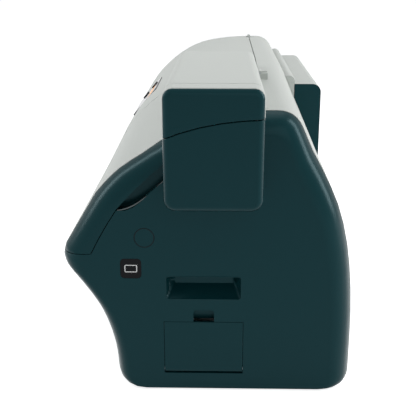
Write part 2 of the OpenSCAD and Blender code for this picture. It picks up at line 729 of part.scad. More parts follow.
module ribbon_film() {
  outer = [[spool_x[1] + 4, spool_z - 11], [-12, film_low], [12, film_low], [spool_x[0] - 6, spool_z - 14.5]];
  color("#2b3f77") translate([0, feeder_mid + 31, 0]) rotate([90, 0, 0]) linear_extrude(62)
    polygon(concat(outer, [for (p = reversed(outer)) p + [0, 0.4]]));
}
module print_head() {
  color("#33363b") {
    block([-7, feeder_mid - 30, film_low + 1.5], [7, feeder_mid + 30, film_low + 14]);
    for (i = [0 : 9])
      block([-6.5, feeder_mid - 29 + i * 6, film_low + 14], [6.5, feeder_mid - 27 + i * 6, film_low + 20]);
  }
}
module head_lever() {
  color(steel) {
      rod_y(head_axis[0], head_axis[1], tray_y[0] - 1.5, tray_y[1] + 3.5, lever_pin_r);
      for (y = [feeder_mid - 33.5, feeder_mid + 31.5]) {
        rod_y(head_axis[0], head_axis[1], y, y + 2, 4.5);
        translate([0, y + 2, 0]) rotate([90, 0, 0]) linear_extrude(2)
          polygon([[head_axis[0] - 3, head_axis[1] - 3.5], [-9, film_low + 6],
            [10, film_low + 6], [10, film_low + 24], [head_axis[0] + 3, head_axis[1] + 4]]);
      }
      block([-9, feeder_mid - 33, film_low + 20], [10, feeder_mid + 33, film_low + 22]);
      block([8, feeder_mid - 12, film_low + 22], [20, feeder_mid + 12, film_low + 24]);
  }
}

// Electronics
module main_board() {
  color("#1f5a3c") block([-196, -67, 22], [150, -65.4, 120]);
  color(steel) for (x = [-190, 144], z = [26, 116]) rod_y(x, z, -65.4, plate_y[0], 2.5);
  color(black) {
    for (x = [-160, -90, 20]) block([x, -65.4, 60], [x + 26, -62.6, 86]);
    for (i = [0 : 5]) block([-190 + i * 52, -65.4, 24], [-170 + i * 52, -57, 34]);
  }
}
module power_supply() {
  color("#a9adb0") difference() {
    block([-90, 62, 4], [44, 118, 54]);
    for (i = [0 : 9]) block([-80 + i * 12, 70, 52], [-74 + i * 12, 110, 56]);
  }
}
module port_panel() {
  color(black) difference() {
    union() {
      for (z = [33.5, 50.2]) block([rocker_at[0] - 4, 122.5, z], [rocker_at[0] + 4, 131.5, z + 4.3]);
      block([port_x[0] - 3, 131, port_z[0] - 3], [port_x[1] + 3, 133, port_z[1] + 3]);
      for (x = [port_x[0] - 3, port_x[1]]) {
        block([x, 118, 6], [x + 3, 123.7, port_z[1] + 3]);
        block([x, 118, 17], [x + 3, 133, port_z[1] + 3]);
      }
    }
    block([inlet_x - 14, 130, inlet_z - 10], [inlet_x + 14, 134, inlet_z + 10]);
    block([rocker_at[0] - 10.9, 130.9, rocker_at[2] - 7.3], [rocker_at[0] + 10.9, 134, rocker_at[2] + 7.3]);
    translate([rocker_at[0], rocker_at[1] - 5, 30]) cylinder(h = 28, r = rocker_pin_r + running);
    block([180, 130, 40], [196, 134, 53]);
    block([206, 130, 38], [218, 134, 49]);
    block([206, 130, 56], [218, 134, 62]);
  }
}
inlet_x = 84;
inlet_z = 44;
rocker_at = [124, 131, 44];
rocker_tilt = 7;
module power_inlet() {
  color("#202225") difference() {
    union() {
      block([inlet_x - 13.7, 112, inlet_z - 9.7], [inlet_x + 13.7, 133, inlet_z + 9.7]);
      block([inlet_x - 17, 133, inlet_z - 13], [inlet_x + 17, 135, inlet_z + 13]);
    }
    block([inlet_x - 12, 117, inlet_z - 7.5], [inlet_x + 12, 136, inlet_z + 7.5]);
  }
  color(steel) for (p = [[-7, -2], [0, 2], [7, -2]])
    block([inlet_x + p[0] - 1, 116, inlet_z + p[1] - 2], [inlet_x + p[0] + 1, 130, inlet_z + p[1] + 2]);
}
// A rocker seen from above: two flats that meet in a shallow V, pressed in on one side, on
// a round pin that turns in two lugs of the panel
rocker_pin_r = 1.5;
module power_rocker() {
  color(black) translate([rocker_at[0], rocker_at[1] - 5, rocker_at[2]]) rotate([0, 0, -rocker_tilt]) {
    translate([0, 0, -6]) linear_extrude(12)
      polygon([[-9.5, 0], [9.5, 0], [9.5, 8.4], [0, 7.2], [-9.5, 8.4]]);
    translate([0, 0, -8]) cylinder(h = 16, r = rocker_pin_r);
  }
}
fan_at = [-160, 117, 68];
module fan_frame() {
  color(black) {
    difference() {
      translate(fan_at - [30, 0, 30]) cube([60, 15, 60]);
      rod_y(fan_at[0], fan_at[2], fan_at[1] - 1, fan_at[1] + 16, 28.5);
    }
    rod_y(fan_at[0], fan_at[2], fan_at[1], fan_at[1] + 3, 11);
    for (x = [-28, 20])
      block([fan_at[0] + x, fan_at[1] + 1, 6], [fan_at[0] + x + 8, fan_at[1] + 6, fan_at[2] - 29]);
    for (a = [0, 120, 240]) translate([fan_at[0], fan_at[1], fan_at[2]]) rotate([0, a, 0])
      block([10, 0, -1.5], [29, 2.5, 1.5]);
  }
}
module fan_rotor() {
  color("#2b2e33") {
    rod_y(fan_at[0], fan_at[2], fan_at[1] + 3.4, fan_at[1] + 13, 11);
    for (a = [0 : 360 / 7 : 359]) translate([fan_at[0], fan_at[1] + 8, fan_at[2]]) rotate([0, a, 0])
      rotate([35, 0, 0]) block([10, -5, -0.8], [27, 5, 0.8]);
  }
}
module casing_screws() {
  color(steel) for (x = [-200, -30, 210], y = [plate_y[0] + 10, plate_y[1] - 10]) {
    translate([x, y, 14]) cylinder(h = 2.2, r = 3.4);
  }
}

base_pan();
front_lower_panel();
rear_cover();
end_cap_right();
end_cap_left();
feeder_body();
hood_front();
hood_top();
hood_band_right();
hood_band_left();
feeder_hump();
feeder_lid_rim();
feeder_lid_face();
display_lens();
display_header();
power_key();
menu_key();
hinge_pins();
service_hatch();
hatch_pins();
hole_plug();
reader_pad();
rear_unit_shell();
rear_unit_top();
rear_rib();
feet();
output_hopper();
printed_cards();
chassis_front_plate();
chassis_rear_plate();
chassis_base();
feeder_cradle();
card_stack();
card_weight();
feed_roller();
cleaning_roller();
platen_roller();
transport_roller();
exit_roller();
pinch_roller();
drive_belt();
motor();
motor_pinion();
head_lever();
print_head();
supply_spool();
takeup_spool();
ribbon_film();
ribbon_tray();
main_board();
power_supply();
port_panel();
power_inlet();
power_rocker();
fan_frame();
fan_rotor();
casing_screws();
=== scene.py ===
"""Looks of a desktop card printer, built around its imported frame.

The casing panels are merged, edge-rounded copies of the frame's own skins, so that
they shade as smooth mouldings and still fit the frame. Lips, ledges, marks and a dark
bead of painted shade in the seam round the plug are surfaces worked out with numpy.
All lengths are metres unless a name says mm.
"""

import json
import logging
import math
from dataclasses import dataclass, field
from enum import Enum
from typing import Any

import bmesh
import bpy
import numpy as np
from mathutils import Matrix, Vector


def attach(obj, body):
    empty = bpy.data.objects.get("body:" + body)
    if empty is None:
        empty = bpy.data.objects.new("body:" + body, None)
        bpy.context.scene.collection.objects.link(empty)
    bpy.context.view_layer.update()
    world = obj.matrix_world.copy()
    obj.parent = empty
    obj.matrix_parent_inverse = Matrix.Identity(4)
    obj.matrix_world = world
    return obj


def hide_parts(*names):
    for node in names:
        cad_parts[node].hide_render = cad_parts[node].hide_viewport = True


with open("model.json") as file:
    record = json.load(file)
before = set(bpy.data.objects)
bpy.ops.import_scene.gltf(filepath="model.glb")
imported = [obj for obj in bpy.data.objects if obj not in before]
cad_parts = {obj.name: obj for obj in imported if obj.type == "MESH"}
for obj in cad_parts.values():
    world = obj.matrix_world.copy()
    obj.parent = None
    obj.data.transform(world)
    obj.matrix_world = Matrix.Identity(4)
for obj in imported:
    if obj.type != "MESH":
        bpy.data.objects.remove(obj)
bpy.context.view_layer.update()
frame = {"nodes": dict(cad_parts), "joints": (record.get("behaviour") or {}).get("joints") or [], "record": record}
MM = 0.001
CASING_BODY = "casing"

logging.basicConfig(level=logging.INFO, format="%(message)s")
LOG = logging.getLogger("card_printer")

Colour = tuple[float, float, float]
Triple = tuple[float, float, float]

WHITE: Colour = (1.0, 1.0, 1.0)
BLACK: Colour = (0.0, 0.0, 0.0)


class Slot(str, Enum):
    """Material slots of the record that a piece takes its finish from."""

    SHELL = "shell_grey"
    TEAL = "dark_teal"
    LENS = "display_black"
    HEADER = "display_orange"
    KEY = "key_black"
    STEEL = "steel"
    ROLLER = "roller_rubber"
    FOOT = "foot_rubber"
    CARD = "card_white"
    INNER = "inner_black"
    MOTOR = "motor_metal"
    GEAR = "gear_white"
    RIBBON = "ribbon_blue"
    TRAY = "tray_grey"
    BOARD = "board_green"
    ZINC = "zinc"


def linear(r: int, g: int, b: int) -> Colour:
    """Screen colour to linear light.

    Args:
        r: Red, 0 to 255.
        g: Green, 0 to 255.
        b: Blue, 0 to 255.

    Returns:
        The three channels in linear light.
    """
    c = np.array([r, g, b]) / 255.0
    out = np.where(c <= 0.04045, c / 12.92, ((c + 0.055) / 1.055) ** 2.4)
    return tuple(float(v) for v in out)


class Value:
    """A number socket that the usual operators build Math nodes from."""

    def __init__(self, graph: "NodeTree", socket: Any) -> None:
        """Keep the graph and the socket.

        Args:
            graph: The node tree that the socket is in.
            socket: The output that carries the number.
        """
        self.graph = graph
        self.socket = socket

    def _op(self, kind: str, a: Any, b: Any = None) -> "Value":
        """One Math node.

        Args:
            kind: The node's operation.
            a: First value or number.
            b: Second value or number, if the operation takes one.

        Returns:
            The node's result.
        """
        inputs = {0: a} if b is None else {0: a, 1: b}
        node = self.graph.node("ShaderNodeMath", {"operation": kind}, inputs)
        return Value(self.graph, node.outputs[0])

    def __add__(self, other: Any) -> "Value":
        """Sum."""
        return self._op("ADD", self, other)

    def __radd__(self, other: Any) -> "Value":
        """Reflected sum."""
        return self._op("ADD", other, self)

    def __sub__(self, other: Any) -> "Value":
        """Difference."""
        return self._op("SUBTRACT", self, other)

    def __rsub__(self, other: Any) -> "Value":
        """Reflected difference."""
        return self._op("SUBTRACT", other, self)

    def __mul__(self, other: Any) -> "Value":
        """Product."""
        return self._op("MULTIPLY", self, other)

    def __rmul__(self, other: Any) -> "Value":
        """Reflected product."""
        return self._op("MULTIPLY", other, self)

    def __pow__(self, other: Any) -> "Value":
        """Power."""
        return self._op("POWER", self, other)

    def __rpow__(self, other: Any) -> "Value":
        """Reflected power."""
        return self._op("POWER", other, self)

    def __gt__(self, other: Any) -> "Value":
        """One where this is larger, else zero."""
        return self._op("GREATER_THAN", self, other)

    def __lt__(self, other: Any) -> "Value":
        """One where this is smaller, else zero."""
        return self._op("LESS_THAN", self, other)

    def __abs__(self) -> "Value":
        """Size without sign."""
        return self._op("ABSOLUTE", self)

    def root(self) -> "Value":
        """Square root."""
        return self._op("SQRT", self)

    def wave(self) -> "Value":
        """Sine."""
        return self._op("SINE", self)


class NodeTree:
    """A node tree, emptied at the start, with one method that adds any node."""

    def __init__(self, tree: bpy.types.NodeTree) -> None:
        """Empty the tree.

        Args:
            tree: Node tree of a material or of the world.
        """
        self.tree = tree
        self.tree.nodes.clear()

    def node(self, kind: str, settings: dict[str, Any] | None = None,
             inputs: dict[Any, Any] | None = None) -> Any:
        """Add any node.

        Args:
            kind: The node's type.
            settings: Properties set first, such as an operation.
            inputs: Values or links of the sockets, by name or number.

        Returns:
            The node.
        """
        node = self.tree.nodes.new(kind)
        for key, value in (settings or {}).items():
            setattr(node, key, value)
        for key, value in (inputs or {}).items():
            self.feed(node.inputs[key], value)
        return node

    def feed(self, socket: Any, value: Any) -> None:
        """Link a value to a socket, or set it there.

        Args:
            socket: The input to feed.
            value: A value, an output socket, a colour or a constant.
        """
        if isinstance(value, Value):
            value = value.socket
        if isinstance(value, bpy.types.NodeSocket):
            self.tree.links.new(value, socket)
        elif isinstance(value, tuple) and len(value) == 3 and len(socket.default_value) == 4:
            socket.default_value = (*value, 1.0)
        else:
            socket.default_value = value

    def directly_seen(self) -> Value:
        """Which rays see a surface directly: the camera's, reflected ones and those through glass.

        Returns:
            One for such a ray, else zero.
        """
        path = self.node("ShaderNodeLightPath").outputs
        seen = Value(self, path["Is Camera Ray"]) + Value(self, path["Is Glossy Ray"])
        return seen + Value(self, path["Is Transmission Ray"])


class Graph(NodeTree):
    """The node tree of one material."""

    def __init__(self, name: str) -> None:
        """Start an empty material with its output and main shader.

        Args:
            name: The material's name.
        """
        self.material = bpy.data.materials.new(name)
        self.material.use_nodes = True
        super().__init__(self.material.node_tree)
        self.out = self.node("ShaderNodeOutputMaterial")
        self.shader = self.node("ShaderNodeBsdfPrincipled")
        self.feed(self.out.inputs[0], self.shader.outputs[0])

    def place(self) -> Any:
        """Place on the object, in metres."""
        return self.node("ShaderNodeTexCoord").outputs["Object"]

    def axes(self) -> tuple[Value, Value, Value]:
        """The three coordinates of the place."""
        split = self.node("ShaderNodeSeparateXYZ", None, {0: self.place()})
        return tuple(Value(self, split.outputs[i]) for i in range(3))

    def noise(self, scale: float, detail: float = 2.0, stretch: Triple = (1.0, 1.0, 1.0)) -> Value:
        """Cloudy noise.

        Args:
            scale: Cells to a metre.
            detail: Octaves.
            stretch: Factor on each axis, to draw the cells out.

        Returns:
            The noise, about 0.5 on average.
        """
        where = self.node("ShaderNodeMapping", None, {"Vector": self.place(), "Scale": stretch})
        noise = self.node("ShaderNodeTexNoise", None,
                          {"Vector": where.outputs[0], "Scale": scale, "Detail": detail})
        return Value(self, noise.outputs[0])

    def blend(self, factor: Any, a: Any, b: Any) -> Any:
        """Mix two colours by a factor.

        The Mix node's colour sockets are its inputs 6 and 7 and its output 2.

        Args:
            factor: 0 for the first colour, 1 for the second.
            a: First colour.
            b: Second colour.

        Returns:
            The output that carries the mix.
        """
        mix = self.node("ShaderNodeMix", {"data_type": "RGBA"}, {0: factor, 6: a, 7: b})
        return mix.outputs[2]

    def bump(self, height: Value, depth: float) -> Any:
        """Bump from a height field.

        Args:
            height: Height, 0 to 1.
            depth: Height of 1, in metres.

        Returns:
            The output that carries the normal.
        """
        bump = self.node("ShaderNodeBump", None, {"Height": height, "Distance": depth})
        return bump.outputs[0]

    def set(self, **sockets: Any) -> None:
        """Feed the main shader's sockets, with _ for a space in a name."""
        for key, value in sockets.items():
            self.feed(self.shader.inputs[key.replace("_", " ")], value)


def shade(colour: Colour, factor: float) -> Colour:
    """A colour times a factor."""
    return tuple(min(1.0, c * factor) for c in colour)


@dataclass(frozen=True)
class MouldedPlastic:
    """Injection-moulded plastic with a spark-eroded grain and faint flow shading."""

    name: str
    colour: Colour
    roughness: float = 0.42
    grain: float = 2600.0
    depth: float = 0.04 * MM
    specular: float = 0.3
    tint: Colour = WHITE
    drift_cells: float = 7.0
    drift_shades: tuple[float, float] = (0.93, 1.06)
    speck_shade: float = 1.04
    drift_matt: float = 0.06
    speck_matt: float = 0.05

    def build(self) -> bpy.types.Material:
        """Make the material.

        Returns:
            The material, with a grain bump and a slow drift of colour and gloss.
        """
        g = Graph(self.name)
        drift = g.noise(self.drift_cells, 3.0)
        speck = g.noise(self.grain)
        dark, light = (shade(self.colour, factor) for factor in self.drift_shades)
        body = g.blend(drift, dark, light)
        base = self.roughness - self.speck_matt
        g.set(Base_Color=g.blend(speck, body, shade(self.colour, self.speck_shade)),
              Roughness=base + drift * self.drift_matt + speck * self.speck_matt,
              Normal=g.bump(speck, self.depth), Specular_IOR_Level=self.specular,
              Specular_Tint=self.tint)
        return g.material


@dataclass(frozen=True)
class GlossPlastic:
    """Smooth gloss plastic with hairline wipe marks."""

    name: str
    colour: Colour
    roughness: float = 0.08
    glow: float = 0.0
    coat: float = 0.0
    specular: float = 0.1
    coat_roughness: float = 0.04
    wipe_cells: float = 90.0
    wipe_shade: float = 1.12
    wipe_matt: float = 0.06
    wipe_depth: float = 0.004 * MM

    def build(self) -> bpy.types.Material:
        """Make the material.

        Returns:
            The material, with fine wipe marks that vary its roughness.
        """
        g = Graph(self.name)
        wipe = g.noise(self.wipe_cells, 4.0, (1.0, 6.0, 1.0))
        g.set(Base_Color=g.blend(wipe, self.colour, shade(self.colour, self.wipe_shade)),
              Roughness=self.roughness + wipe * self.wipe_matt,
              Coat_Weight=self.coat, Coat_Roughness=self.coat_roughness,
              Specular_IOR_Level=self.specular, Normal=g.bump(wipe, self.wipe_depth))
        if self.glow:
            g.set(Emission_Color=self.colour, Emission_Strength=self.glow)
        return g.material


@dataclass(frozen=True)
class SheetSteel:
    """Zinc-plated or brushed sheet with long rolling marks."""

    name: str
    colour: Colour
    roughness: float = 0.34
    mark_cells: float = 420.0
    mark_matt: float = 0.16
    mark_depth: float = 0.02 * MM
    spangle_cells: float = 60.0
    spangle_shades: tuple[float, float] = (0.88, 1.08)

    def build(self) -> bpy.types.Material:
        """Make the material.

        Returns:
            The material, with marks drawn out along X and spangle in patches.
        """
        g = Graph(self.name)
        marks = g.noise(self.mark_cells, 3.0, (0.04, 1.0, 1.0))
        spangle = g.noise(self.spangle_cells, 1.0)
        dark, light = (shade(self.colour, factor) for factor in self.spangle_shades)
        g.set(Base_Color=g.blend(spangle, dark, light), Metallic=1.0,
              Roughness=self.roughness - self.mark_matt / 2 + marks * self.mark_matt,
              Normal=g.bump(marks, self.mark_depth))
        return g.material


@dataclass(frozen=True)
class Rubber:
    """Matt rubber with a ground surface."""

    name: str
    colour: Colour
    roughness: float = 0.72
    grain: float = 1800.0
    grain_shade: float = 1.5
    grain_matt: float = 0.15
    depth: float = 0.06 * MM

    def build(self) -> bpy.types.Material:
        """Make the material.

        Returns:
            The material, with a fine ground grain.
        """
        g = Graph(self.name)
        grain = g.noise(self.grain, 3.0)
        g.set(Base_Color=g.blend(grain, self.colour, shade(self.colour, self.grain_shade)),
              Roughness=self.roughness + grain * self.grain_matt,
              Normal=g.bump(grain, self.depth))
        return g.material


@dataclass(frozen=True)
class RollerFinish:
    """Rubber sleeve on a steel shaft, told apart by the distance from the axis."""

    name: str
    x: float
    z: float
    sleeve: Colour
    core: float = 3.4 * MM
    half: float = 40 * MM
    middle: float = 5 * MM
    shaft: Colour = linear(178, 182, 186)
    shaft_roughness: float = 0.26
    sleeve_matt: float = 0.45
    grain: float = 1500.0
    grain_shade: float = 1.5
    grain_matt: float = 0.08
    depth: float = 0.05 * MM

    def build(self) -> bpy.types.Material:
        """Make the material.

        Returns:
            The material: rubber outside the core radius near the middle, else steel.
        """
        g = Graph(self.name)
        px, py, pz = g.axes()
        radius = ((px - self.x) ** 2.0 + (pz - self.z) ** 2.0).root()
        rubber = (radius > self.core) * (abs(py - self.middle) < self.half)
        grain = g.noise(self.grain, 3.0)
        sleeve = g.blend(grain, self.sleeve, shade(self.sleeve, self.grain_shade))
        matt = self.shaft_roughness + rubber * self.sleeve_matt + grain * self.grain_matt
        g.set(Base_Color=g.blend(rubber, self.shaft, sleeve), Metallic=1.0 - rubber,
              Roughness=matt, Normal=g.bump(grain * rubber, self.depth))
        return g.material


@dataclass(frozen=True)
class SpoolFinish:
    """Inked film wound on a moulded core between pale flanges."""

    name: str
    x: float
    z: float
    film: Colour
    middle: float = 5.25 * MM
    film_half: float = 31.9 * MM
    flange_half: float = 34.5 * MM
    film_core: float = 4.5 * MM
    shaft: float = 3.5 * MM
    core_colour: Colour = linear(38, 41, 46)
    flange_colour: Colour = linear(214, 209, 196)
    core_roughness: float = 0.5
    film_gloss: float = 0.3
    line_cells: float = 3200.0
    line_shade: float = 1.5
    line_depth: float = 0.02 * MM

    def build(self) -> bpy.types.Material:
        """Make the material.

        Returns:
            The material: film between the flanges, and a dark core outside them.
        """
        g = Graph(self.name)
        px, py, pz = g.axes()
        radius = ((px - self.x) ** 2.0 + (pz - self.z) ** 2.0).root()
        wound = (abs(py - self.middle) < self.film_half) * (radius > self.film_core)
        rim = (abs(py - self.middle) < self.flange_half) * (radius > self.shaft)
        flange = rim * (1.0 - wound)
        lines = g.noise(self.line_cells, 1.0, (1.0, 0.02, 1.0))
        ends = g.blend(flange, self.core_colour, self.flange_colour)
        film = g.blend(lines, self.film, shade(self.film, self.line_shade))
        g.set(Base_Color=g.blend(wound, ends, film),
              Roughness=self.core_roughness - wound * self.film_gloss,
              Normal=g.bump(lines * wound, self.line_depth))
        return g.material


@dataclass(frozen=True)
class CardStock:
    """Blank white cards in a pile: thin joint lines between them."""

    name: str
    pitch: float = 0.8 * MM
    face: Colour = linear(241, 241, 239)
    joint: Colour = linear(150, 150, 148)
    joint_from: float = 0.9
    joint_share: float = 0.5
    drift_cells: float = 30.0
    drift_shade: float = 0.97
    roughness: float = 0.22
    drift_matt: float = 0.05

    def build(self) -> bpy.types.Material:
        """Make the material.

        Returns:
            The material, with a dark line at each multiple of the pitch up the edges.
        """
        g = Graph(self.name)
        _, _, pz = g.axes()
        edge = (pz * (2.0 * math.pi / self.pitch)).wave() > self.joint_from
        drift = g.noise(self.drift_cells)
        face = g.blend(drift, shade(self.face, self.drift_shade), self.face)
        g.set(Base_Color=g.blend(edge * self.joint_share, face, self.joint),
              Roughness=self.roughness + drift * self.drift_matt)
        return g.material


@dataclass(frozen=True)
class CircuitBoard:
    """Green board with fine copper traces under the mask."""

    name: str
    cells: float = 160.0
    face_y: float = -65.3 * MM
    mask: Colour = linear(22, 82, 52)
    copper: Colour = linear(58, 120, 74)
    part: Colour = linear(30, 31, 34)
    trace_half: float = 0.05
    trace_depth: float = 0.03 * MM
    roughness: float = 0.34
    part_matt: float = 0.2

    def build(self) -> bpy.types.Material:
        """Make the material.

        Returns:
            The material: traces from a cell pattern, and dark parts off the board's plane.
        """
        g = Graph(self.name)
        _, py, _ = g.axes()
        cells = g.node("ShaderNodeTexVoronoi", {"feature": "DISTANCE_TO_EDGE"},
                       {"Vector": g.place(), "Scale": self.cells})
        trace = Value(g, cells.outputs[0]) < self.trace_half
        parts = py > self.face_y
        board = g.blend(trace, self.mask, self.copper)
        g.set(Base_Color=g.blend(parts, board, self.part),
              Roughness=self.roughness + parts * self.part_matt,
              Normal=g.bump(trace, self.trace_depth))
        return g.material


LIGHT_GREY = linear(192, 196, 191)
TEAL_BLACK = linear(6, 46, 50)
TEAL_SHEEN = (0.5, 0.9, 1.0)
INK_BLUE = linear(44, 63, 122)


class Finishes:
    """Every finish of the printer, one for each slot and some for single nodes."""

    def __init__(self) -> None:
        """Build all the materials once."""
        plain = {
            Slot.SHELL: MouldedPlastic("shell_grey_moulding", LIGHT_GREY, 0.46),
            Slot.TEAL: MouldedPlastic("dark_teal_moulding", TEAL_BLACK, 0.24, grain=2200.0,
                                      depth=0.02 * MM, specular=0.18, tint=TEAL_SHEEN),
            Slot.LENS: GlossPlastic("display_lens_black", linear(8, 9, 14)),
            # The orange header strip gets a faint painted glow, though it is no lamp.
            Slot.HEADER: GlossPlastic("display_header_orange", linear(226, 150, 52), 0.2, glow=0.15),
            Slot.KEY: MouldedPlastic("key_black_moulding", linear(14, 15, 17), 0.4, specular=0.12),
            Slot.STEEL: SheetSteel("plated_sheet", linear(176, 180, 184)),
            Slot.ROLLER: Rubber("belt_rubber", linear(34, 35, 37)),
            Slot.FOOT: Rubber("foot_rubber", linear(26, 26, 27)),
            Slot.CARD: CardStock("blank_cards"),
            Slot.INNER: MouldedPlastic("inner_black_moulding", linear(20, 22, 25), 0.5, specular=0.12),
            Slot.MOTOR: SheetSteel("black_oxide", linear(66, 68, 73), 0.45),
            Slot.GEAR: MouldedPlastic("natural_acetal", linear(222, 217, 204), 0.3),
            Slot.RIBBON: GlossPlastic("inked_film", INK_BLUE, 0.15, coat=0.5),
            Slot.TRAY: MouldedPlastic("tray_grey_moulding", linear(146, 150, 153), 0.45),
            Slot.BOARD: CircuitBoard("solder_mask"),
            Slot.ZINC: SheetSteel("folded_zinc", linear(182, 186, 188), 0.3),
        }
        polish = GlossPlastic("polished_edge", TEAL_BLACK, 0.14, coat=1.0, specular=0.5)
        self.edge = polish.build()
        self.by_slot = {slot: finish.build() for slot, finish in plain.items()}
        self.by_node = {n: f.build() for n, f in self._turned().items()}

    @staticmethod
    def _turned() -> dict[str, Any]:
        """Finishes of the rollers and spools, each centred on its node's own axis.

        Returns:
            The finish of each such node, by name.
        """
        out: dict[str, Any] = {}
        for joint in frame["joints"]:
            name = joint["child"]
            if "pos_m" not in joint or not name.endswith(("roller", "spool")):
                continue
            x, _, z = joint["pos_m"]
            if name.endswith("spool"):
                out[name] = SpoolFinish(f"{name}_film", x, z, INK_BLUE)
            else:
                tint = linear(196, 120, 60) if name == "cleaning_roller" else linear(40, 41, 43)
                out[name] = RollerFinish(f"{name}_sleeve", x, z, tint)
        return out

    def of(self, node: str, slot: Slot) -> bpy.types.Material:
        """The finish of a node: its own, or its slot's."""
        return self.by_node.get(node, self.by_slot[slot])


def node_slots() -> dict[str, Slot]:
    """The record's slot of each node."""
    return {p["node"]: Slot(p["material_slot"]) for p in frame["record"]["subparts"]}


def body_of_node(node: str) -> str:
    """The body of the frame that a node belongs to."""
    bodies = frame["record"]["behaviour"]["bodies"]
    return next(name for name, nodes in bodies.items() if node in nodes)


class Piece:
    """One new mesh that rides on a body of the frame."""

    def __init__(self, name: str, mesh: bpy.types.Mesh, body: str, slot: Slot,
                 material: bpy.types.Material) -> None:
        """Put the mesh in the scene with its finish, riding on its body.

        Args:
            name: The piece's name.
            mesh: Its mesh, already in its place.
            body: The body that it rides on.
            slot: The record's slot that it belongs to; not used.
            material: Its finish.
        """
        self.object = bpy.data.objects.new(name, mesh)
        bpy.context.scene.collection.objects.link(self.object)
        mesh.materials.clear()
        mesh.materials.append(material)
        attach(self.object, body)
        LOG.info("%s: %d faces", name, len(mesh.polygons))


@dataclass
class Skin:
    """A moulded panel made from the frame's own skin: merged, smoothed, edges rounded."""

    node: str
    edge: float
    crease_deg: float = 34.0
    merge: float = 0.002 * MM
    flat_rad: float = 0.003

    def build(self, finishes: Finishes, slot: Slot) -> Piece:
        """Copy the node's mesh, merge its points, join flat faces and round its edges.

        Args:
            finishes: The materials.
            slot: The record's slot of the node.

        Returns:
            The new piece, which stands for the node.
        """
        mesh = frame["nodes"][self.node].data.copy()
        mesh.name = f"{self.node}_skin"
        work = bmesh.new()
        work.from_mesh(mesh)
        bmesh.ops.remove_doubles(work, verts=work.verts, dist=self.merge)
        bmesh.ops.dissolve_limit(work, angle_limit=self.flat_rad, verts=work.verts, edges=work.edges)
        work.to_mesh(mesh)
        work.free()
        mesh.shade_smooth()
        mesh.set_sharp_from_angle(angle=math.radians(self.crease_deg))
        piece = Piece(f"{self.node}_skin", mesh, body_of_node(self.node), slot,
                      finishes.of(self.node, slot))
        round_edges(piece.object, self.edge, self.crease_deg)
        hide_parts(self.node)
        return piece


EDGE_SEGMENTS = 2
SHADING_WEIGHT = 60


def round_edges(obj: bpy.types.Object, width: float, angle_deg: float) -> None:
    """Finish a piece with small rounded edges and area-weighted shading.

    Args:
        obj: The piece's object.
        width: Width of the rounding, in metres.
        angle_deg: Least angle between faces at an edge that is rounded.
    """
    bevel = obj.modifiers.new("edge", "BEVEL")
    bevel.width = width
    bevel.segments = EDGE_SEGMENTS
    bevel.limit_method = "ANGLE"
    bevel.angle_limit = math.radians(angle_deg)
    weighted = obj.modifiers.new("shading", "WEIGHTED_NORMAL")
    weighted.keep_sharp = False
    weighted.weight = SHADING_WEIGHT


def lattice(points: np.ndarray, wrap_rows: bool, wrap_cols: bool) -> bpy.types.Mesh:
    """Mesh of a grid of points.

    Face (i, j) joins points (i, j), (i, j + 1), (i + 1, j + 1) and (i + 1, j), with the
    last row or column joined to the first where it wraps.

    Args:
        points: Array of rows, columns and 3.
        wrap_rows: Whether the last row joins the first.
        wrap_cols: Whether the last column joins the first.

    Returns:
        The mesh, its faces turned outwards.
    """
    rows, cols = points.shape[:2]
    i = np.arange(rows if wrap_rows else rows - 1)[:, None]
    j = np.arange(cols if wrap_cols else cols - 1)[None, :]
    i1, j1 = (i + 1) % rows, (j + 1) % cols
    quads = np.stack([i * cols + j, i * cols + j1, i1 * cols + j1, i1 * cols + j], -1)
    mesh = bpy.data.meshes.new("lattice")
    mesh.from_pydata(points.reshape(-1, 3), [], quads.reshape(-1, 4))
    work = bmesh.new()
    work.from_mesh(mesh)
    bmesh.ops.recalc_face_normals(work, faces=work.faces)
    work.to_mesh(mesh)
    work.free()
    mesh.shade_smooth()
    return mesh


def rounded_loop(y0: float, y1: float, z0: float, z1: float, r: float, per: int = 10) -> np.ndarray:
    """Closed loop round a rectangle with rounded corners.

    Corner k has its centre r inside the corner, and its points stand r from that
    centre at angles from 90 k to 90 (k + 1) degrees.

    Args:
        y0: Front side.
        y1: Rear side.
        z0: Bottom.
        z1: Top.
        r: Corner radius.
        per: Points to a corner.

    Returns:
        Array of points in Y and Z.
    """
    turn = np.radians(np.arange(4)[:, None] * 90.0 + np.linspace(0.0, 90.0, per)[None, :])
    centre = np.array([[y1 - r, z1 - r], [y0 + r, z1 - r], [y0 + r, z0 + r], [y1 - r, z0 + r]])
    ring = centre[:, None, :] + r * np.stack([np.cos(turn), np.sin(turn)], -1)
    return ring.reshape(-1, 2)


def bead(path: np.ndarray, x: float, radius: float, closed: bool, steps: int = 12) -> np.ndarray:
    """Round bead along a path in a plane of constant X.

    Each point of the path carries a circle that spans the path's normal and the X
    axis: point plus radius times (cos a times normal plus sin a times X).

    Args:
        path: Points in Y and Z.
        x: Place of the plane.
        radius: Radius of the bead.
        closed: Whether the path is a loop.
        steps: Points round the bead.

    Returns:
        Grid of points, one row for each point of the path.
    """
    if closed:
        along = np.roll(path, -1, 0) - np.roll(path, 1, 0)
    else:
        along = np.gradient(path, axis=0)
    along /= np.linalg.norm(along, axis=1, keepdims=True)
    normal = np.stack([along[:, 1], -along[:, 0]], -1)
    a = np.linspace(0.0, 2.0 * math.pi, steps, endpoint=False)
    flat = path[:, None, :] + radius * np.cos(a)[None, :, None] * normal[:, None, :]
    depth = np.broadcast_to(x + radius * np.sin(a)[None, :], flat.shape[:2])
    return np.concatenate([depth[..., None], flat], -1)


